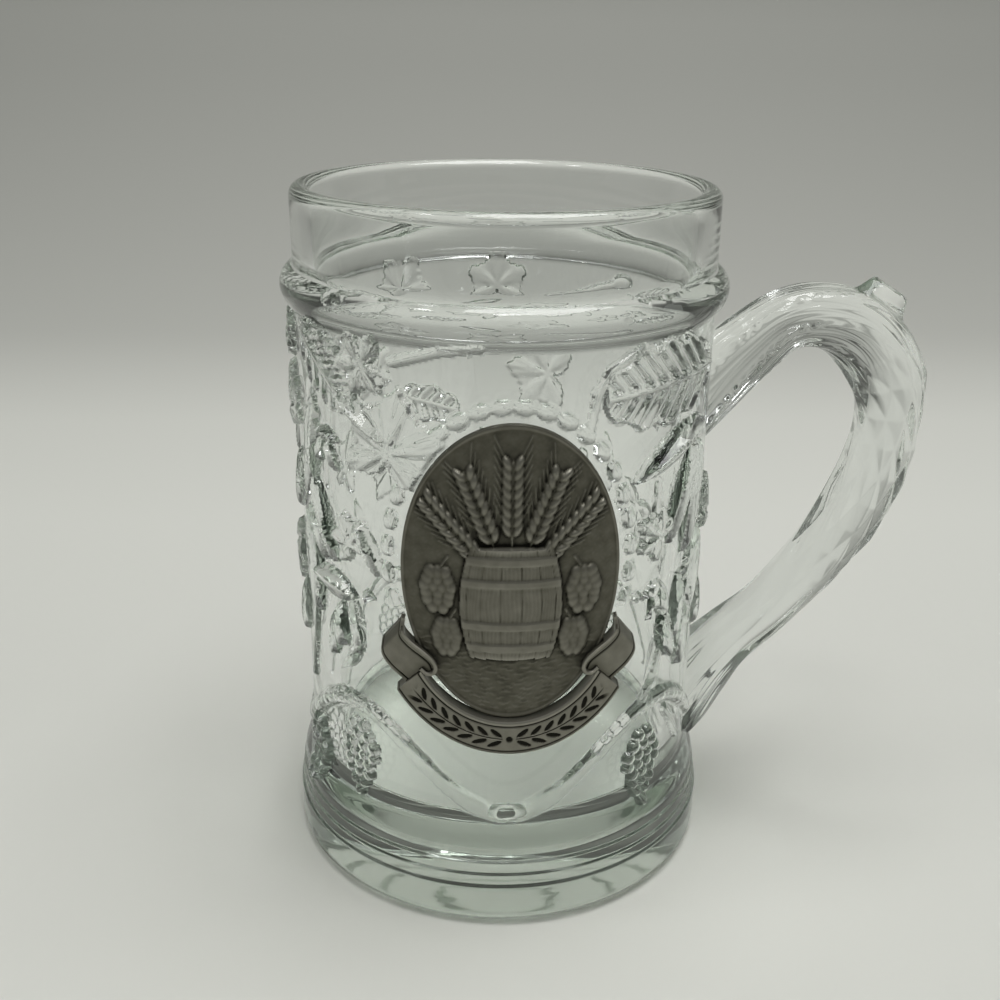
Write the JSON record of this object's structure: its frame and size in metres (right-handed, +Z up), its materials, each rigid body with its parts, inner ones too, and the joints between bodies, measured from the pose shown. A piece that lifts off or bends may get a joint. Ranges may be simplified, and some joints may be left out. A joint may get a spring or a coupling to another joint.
{
  "type": "beer mug",
  "caption": "Pressed clear glass beer mug with vine and grape relief, a heavy ringed base, a branch-like glass handle and a curved pewter medallion with a ribbon glued to the front.",
  "frame": {"origin": "centre of the underside, on the axis of the tumbler", "axes": "+Z up along the tumbler's axis, +X towards the handle, -Y towards the viewer of the medallion"},
  "size_m": [0.1331, 0.0908, 0.14],
  "materials": {
    "glass": "clear pressed glass with a faint green tint, fire-polished",
    "pewter": "antiqued cast pewter, dark in the recesses and rubbed bright on the high spots",
    "adhesive": "cured clear adhesive"
  },
  "bodies": {
    "root": {"glass_body": "glass", "handle": "glass", "medallion_plaque": "pewter", "medallion_ribbon": "pewter", "adhesive_pad": "adhesive"}
  },
  "joints": []
}
